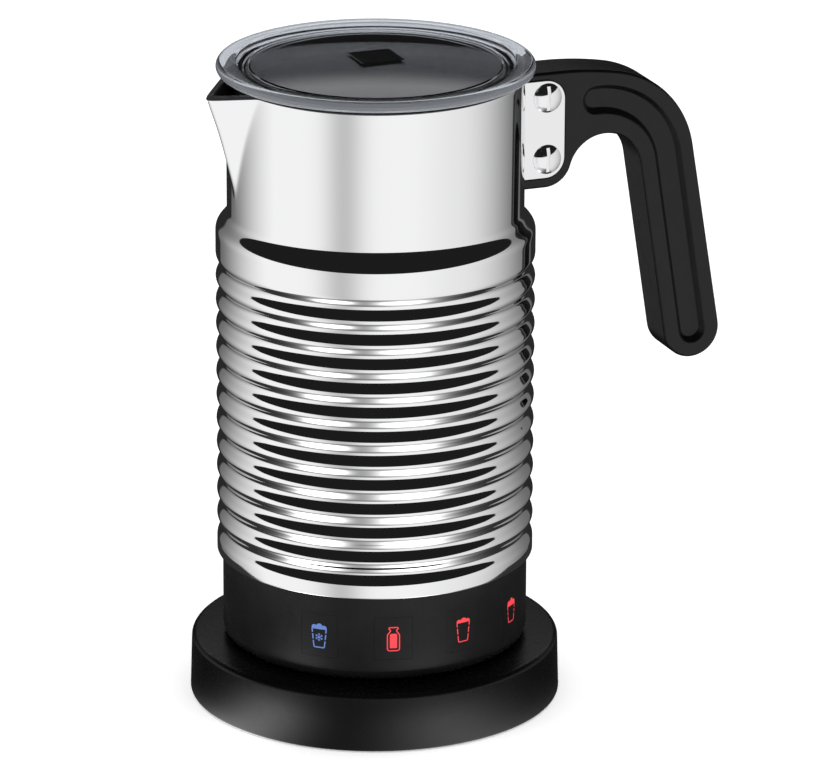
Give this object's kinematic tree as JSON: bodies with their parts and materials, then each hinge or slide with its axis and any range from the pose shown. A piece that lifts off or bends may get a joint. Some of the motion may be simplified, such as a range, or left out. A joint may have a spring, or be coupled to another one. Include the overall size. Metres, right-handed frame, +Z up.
{
  "type": "electric milk frother",
  "caption": "Ribbed steel milk-frother jug with side handle, pouring spout and clear press-in lid on a round induction base with a push-button band; magnetic whisk inside.",
  "frame": {"origin": "on the jug's axis, at the plane of the rubber feet that the base stands on", "axes": "+Z up along the jug's axis, +X towards the handle, -X towards the spout, -Y the front with the buttons"},
  "size_m": [0.1739, 0.1199, 0.2087],
  "materials": {
    "base_black": "satin, faintly textured",
    "cover_black": "fine spark texture",
    "foot_rubber": "matt, smooth pads",
    "screw_steel": "zinc plated, pan heads",
    "band_black": "satin",
    "seat_glass_black": "smooth, glossy",
    "coil_copper": "enamelled copper litz wire",
    "former_cream": "mica-filled moulding",
    "ferrite_grey": "sintered",
    "zinc_sheet": "galvanised sheet",
    "motor_steel": "plated can",
    "bush_bronze": "sintered bronze",
    "shaft_steel": "ground",
    "lamination_steel": "stacked laminations",
    "magnet_nickel": "nickel plated",
    "board_green": "solder mask",
    "switch_black": "moulded",
    "led_white": "clear epoxy",
    "capacitor_blue": "sleeved can",
    "aluminium_fin": "extruded",
    "lead_red": "silicone sleeve",
    "white_plastic": "self-lubricating moulding",
    "jug_chrome": "polished stainless steel",
    "nonstick_black": "sprayed non-stick coat on aluminium",
    "ferritic_steel": "brushed",
    "handle_black": "satin moulding with soft edges",
    "fitting_chrome": "polished",
    "lid_smoke": "smoked clear plastic, polished",
    "seal_silicone": "soft, matt",
    "badge_black": "glossy inlay, left plain",
    "wire_steel": "drawn wire",
    "icon_red": "clear guide that shows its icon in red",
    "icon_blue": "clear guide that shows its icon in blue"
  },
  "bodies": {
    "motor_base": {"foot_housing": "base_black", "bottom_cover": "cover_black", "rubber_feet": "foot_rubber", "cover_screws": "screw_steel", "cord_gland": "foot_rubber", "control_housing": "band_black", "housing_screws": "screw_steel", "seat_plate": "seat_glass_black", "coil_former": "former_cream", "induction_coil": "coil_copper", "ferrite_bars": "ferrite_grey", "motor_bracket": "zinc_sheet", "motor_screws": "screw_steel", "motor_can": "motor_steel", "motor_stator": "coil_copper", "motor_bushes": "bush_bronze", "temperature_sensor": "former_cream", "switch_carrier": "board_green", "tact_switches": "switch_black", "button_leds": "led_white", "power_board": "board_green", "board_screws": "screw_steel", "filter_capacitor": "capacitor_blue", "choke": "coil_copper", "heat_sink": "aluminium_fin", "terminal_block": "switch_black", "coil_leads": "lead_red"},
    "key_cold_foam": {"button_cold_foam": "band_black", "guide_cold_foam": "icon_blue"},
    "key_hot_milk": {"button_hot_milk": "band_black", "guide_hot_milk": "icon_red"},
    "key_light_foam": {"button_light_foam": "band_black", "guide_light_foam": "icon_red"},
    "key_thick_foam": {"button_thick_foam": "band_black", "guide_thick_foam": "icon_red"},
    "rotor": {"motor_shaft": "shaft_steel", "motor_armature": "lamination_steel", "magnet_carrier": "white_plastic", "drive_magnets": "magnet_nickel"},
    "jug": {"outer_shell": "jug_chrome", "inner_cup": "nonstick_black", "induction_disc": "ferritic_steel", "jug_base_ring": "base_black", "whisk_pin": "shaft_steel", "handle": "handle_black", "handle_bracket": "fitting_chrome", "handle_screws": "fitting_chrome", "handle_sleeve_nuts": "fitting_chrome"},
    "lid": {"lid_disc": "lid_smoke", "lid_seal": "seal_silicone", "lid_badge": "badge_black"},
    "whisk_carrier": {"whisk_bush": "white_plastic"},
    "whisk": {"whisk_hub": "handle_black", "whisk_spring": "wire_steel", "whisk_magnets": "magnet_nickel"}
  },
  "joints": [
    {"name": "cold_foam_press", "type": "slide", "parent": "motor_base", "child": "key_cold_foam", "axis": [0.6691, 0.7431, 0], "range_m": [0, 0.0006], "stiffness_N_per_m": 600, "springref_m": -0.001},
    {"name": "hot_milk_press", "type": "slide", "parent": "motor_base", "child": "key_hot_milk", "axis": [0.2419, 0.9703, 0], "range_m": [0, 0.0006], "stiffness_N_per_m": 600, "springref_m": -0.001},
    {"name": "light_foam_press", "type": "slide", "parent": "motor_base", "child": "key_light_foam", "axis": [-0.2419, 0.9703, 0], "range_m": [0, 0.0006], "stiffness_N_per_m": 600, "springref_m": -0.001},
    {"name": "thick_foam_press", "type": "slide", "parent": "motor_base", "child": "key_thick_foam", "axis": [-0.6691, 0.7431, 0], "range_m": [0, 0.0006], "stiffness_N_per_m": 600, "springref_m": -0.001},
    {"name": "motor_spin", "type": "hinge", "parent": "motor_base", "child": "rotor", "pos_m": [0, 0, 0.046], "axis": [0, 0, 1], "continuous": true},
    {"name": "jug_lift", "type": "slide", "parent": "motor_base", "child": "jug", "axis": [0, 0, 1], "range_m": [0, 0.06]},
    {"name": "lid_lift", "type": "slide", "parent": "jug", "child": "lid", "axis": [0, 0, 1], "range_m": [0, 0.05]},
    {"name": "whisk_lift", "type": "slide", "parent": "jug", "child": "whisk_carrier", "axis": [0, 0, 1], "range_m": [0, 0.03]},
    {"name": "whisk_spin", "type": "hinge", "parent": "whisk_carrier", "child": "whisk", "pos_m": [0, 0, 0.06], "axis": [0, 0, 1], "continuous": true}
  ],
  "couplings": [
    {"joint": "whisk_spin", "follows": "motor_spin", "ratio": 1}
  ]
}
